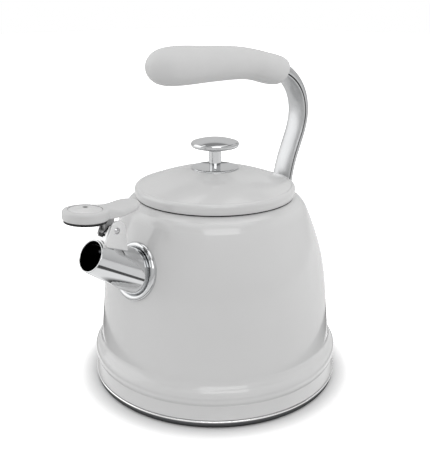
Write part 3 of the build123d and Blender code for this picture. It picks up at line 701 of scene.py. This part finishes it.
def make_floor():
    """A white floor sheet that glows for the camera; the glow fades out towards the kettle's base as a
    painted shadow.

    Shiny pieces see a painted reflection in it: a glowing ring round the base, then a grey one, then plain
    pale sheet.
    """
    material, tree, shader = new_material("floor_sheet_painted_shadow_and_reflection")
    shader.inputs["Roughness"].default_value = 0.7
    shader.inputs["Emission Color"].default_value = (1, 1, 1, 1)
    rays = put(tree, "ShaderNodeLightPath").outputs
    place = put(tree, "ShaderNodeTexCoord").outputs["Object"]
    away = put(tree, "ShaderNodeVectorMath", {0: place}, operation="LENGTH").outputs["Value"]
    # The camera's glow fades out near the base: a painted shadow round the kettle.
    seen = times(tree, ramp(tree, away, PAINTED_BASE_SHADOW, interpolation_type="SMOOTHSTEP"), rays["Is Camera Ray"])
    # Glossy rays alone see a glowing ring round the base: a painted reflection.
    ring = times(tree, ramp(tree, away, PAINTED_REFLECTION_GLOW_END, 1.0, 0.0), ramp(tree, away, PAINTED_REFLECTION_GLOW_START))
    painted_reflection_glow = times(tree, ring, rays["Is Glossy Ray"])
    glow_with_painted_shadow_and_reflection = put(tree, "ShaderNodeMath", {0: painted_reflection_glow, 1: seen}, operation="ADD").outputs[0]
    tree.links.new(glow_with_painted_shadow_and_reflection, shader.inputs["Emission Strength"])
    # Glossy rays alone see the floor near the kettle dark grey: a painted reflection of shade.
    grey = times(tree, ramp(tree, away, PAINTED_REFLECTION_GREY_END, 1.0, 0.0), rays["Is Glossy Ray"])
    tree.links.new(mix(tree, grey, (*srgb("#E8E8E8"), 1), (*srgb("#4A4A4A"), 1)), shader.inputs["Base Color"])
    mesh = bpy.data.meshes.new("studio_floor")
    build = bmesh.new()
    bmesh.ops.create_grid(build, x_segments=8, y_segments=8, size=FLOOR_HALF)
    build.to_mesh(mesh)
    build.free()
    mesh.materials.append(material)
    floor = bpy.data.objects.new("studio_floor", mesh)
    bpy.context.scene.collection.objects.link(floor)


# Brightness of the room by the height of the direction, 0 at the horizon and 1 overhead
SKY_BANDS = ((0.0, 0.80), (0.45, 1.0), (0.60, 1.0), (0.66, 0.45), (0.80, 0.45), (0.86, 1.3), (1.0, 1.3))


def make_room(brightness):
    """White room: pale walls, and a ring of shade round the ceiling light."""
    world = bpy.data.worlds.new("studio_room")
    bpy.context.scene.world = world
    world.use_nodes = True
    tree = world.node_tree
    tree.nodes.clear()
    place = put(tree, "ShaderNodeTexCoord")
    height = put(tree, "ShaderNodeSeparateXYZ", {0: place.outputs["Generated"]}).outputs[2]
    bands = put(tree, "ShaderNodeValToRGB", {0: height})
    stops = bands.color_ramp.elements
    while len(stops) < len(SKY_BANDS):
        stops.new(0.5)
    top = max(level for _, level in SKY_BANDS)
    for stop, (position, level) in zip(stops, SKY_BANDS):
        stop.position = position
        stop.color = (*[level / top] * 3, 1)
    room = put(tree, "ShaderNodeBackground", {"Color": bands.outputs[0], "Strength": brightness * top})
    white = put(tree, "ShaderNodeBackground", {"Color": (1, 1, 1, 1), "Strength": 1.0})
    seen = put(tree, "ShaderNodeLightPath").outputs["Is Camera Ray"]
    mixed = put(tree, "ShaderNodeMixShader", {0: seen, 1: room.outputs[0], 2: white.outputs[0]})
    put(tree, "ShaderNodeOutputWorld", {"Surface": mixed.outputs[0]})


def add_softbox(name, place, size, power):
    """A rectangle of soft light at place, turned towards the kettle's middle."""
    lamp = bpy.data.lights.new(name, "AREA")
    lamp.shape = "RECTANGLE"
    lamp.size, lamp.size_y = size
    lamp.energy = power
    light = bpy.data.objects.new(name, lamp)
    bpy.context.scene.collection.objects.link(light)
    light.location = place
    light.rotation_euler = (LIGHTS_AIM - Vector(place)).to_track_quat("-Z", "Y").to_euler()
    light.visible_camera = False
    return light


CAMERA_PLACE = (-0.408, -0.401, 0.322)
CAMERA_DOWN, CAMERA_TURN = math.radians(19.07), math.radians(-45.5)


def add_camera(lens):
    """A normal lens off the spout's side, a little above the grip and looking down."""
    camera = bpy.data.cameras.new("camera")
    camera.lens = lens
    camera.clip_start, camera.clip_end = 0.01, 50
    holder = bpy.data.objects.new("camera", camera)
    bpy.context.scene.collection.objects.link(holder)
    holder.location = CAMERA_PLACE
    holder.rotation_euler = (math.radians(90) - CAMERA_DOWN, 0, CAMERA_TURN)
    bpy.context.scene.camera = holder


class OBJECT_OT_kettle_stage(KettleOperator, bpy.types.Operator):
    """Lay the floor, hang the lights and set up the camera"""

    bl_idname = "object.kettle_stage"
    bl_label = "Studio"

    def execute(self, context):
        studio = context.scene.kettle_studio
        context.scene.view_settings.view_transform = "Standard"
        make_floor()
        make_room(studio.sky)
        add_softbox("top_softbox", (0.1, 0.1, 1.6), (1.6, 1.6), studio.top_light)
        add_softbox("front_softbox", (-0.8, -1.1, 1.3), (1.2, 0.8), studio.front_light)
        add_softbox("left_softbox", (-0.85, 1.0, 0.65), (1.3, 1.5), studio.side_light)
        add_softbox("right_softbox", (1.1, -0.7, 0.6), (1.2, 1.3), studio.side_light).visible_glossy = False
        add_camera(studio.lens)
        return {"FINISHED"}


# ---- Panel and registering ----

OPERATORS = (
    OBJECT_OT_kettle_materials,
    OBJECT_OT_kettle_vessel,
    OBJECT_OT_kettle_spout,
    OBJECT_OT_kettle_bracket,
    OBJECT_OT_kettle_lever,
    OBJECT_OT_kettle_lid,
    OBJECT_OT_kettle_handle,
    OBJECT_OT_kettle_stage,
)


class VIEW3D_PT_kettle(bpy.types.Panel):
    """The kettle's finishes and the buttons that build its pieces"""

    bl_idname = "VIEW3D_PT_kettle"
    bl_label = "Whistling kettle"
    bl_space_type = "VIEW_3D"
    bl_region_type = "UI"
    bl_category = "Kettle"

    def draw(self, context):
        for group in (context.scene.kettle_finishes, context.scene.kettle_studio):
            for name in type(group).__annotations__:
                self.layout.prop(group, name)
        for operator in OPERATORS:
            self.layout.operator(operator.bl_idname)


CLASSES = (KettleFinishes, KettleStudio, *OPERATORS, VIEW3D_PT_kettle)


def register():
    """Make the kettle's settings, operators and panel known."""
    for made in CLASSES:
        bpy.utils.register_class(made)
    bpy.types.Scene.kettle_finishes = bpy.props.PointerProperty(type=KettleFinishes)
    bpy.types.Scene.kettle_studio = bpy.props.PointerProperty(type=KettleStudio)


def unregister():
    """Take them all away again."""
    del bpy.types.Scene.kettle_studio
    del bpy.types.Scene.kettle_finishes
    for made in reversed(CLASSES):
        bpy.utils.unregister_class(made)


def main():
    """Build everything in order."""
    register()
    for operator in OPERATORS:
        group, name = operator.bl_idname.split(".")
        getattr(getattr(bpy.ops, group), name)()


if __name__ == "__main__":
    main()
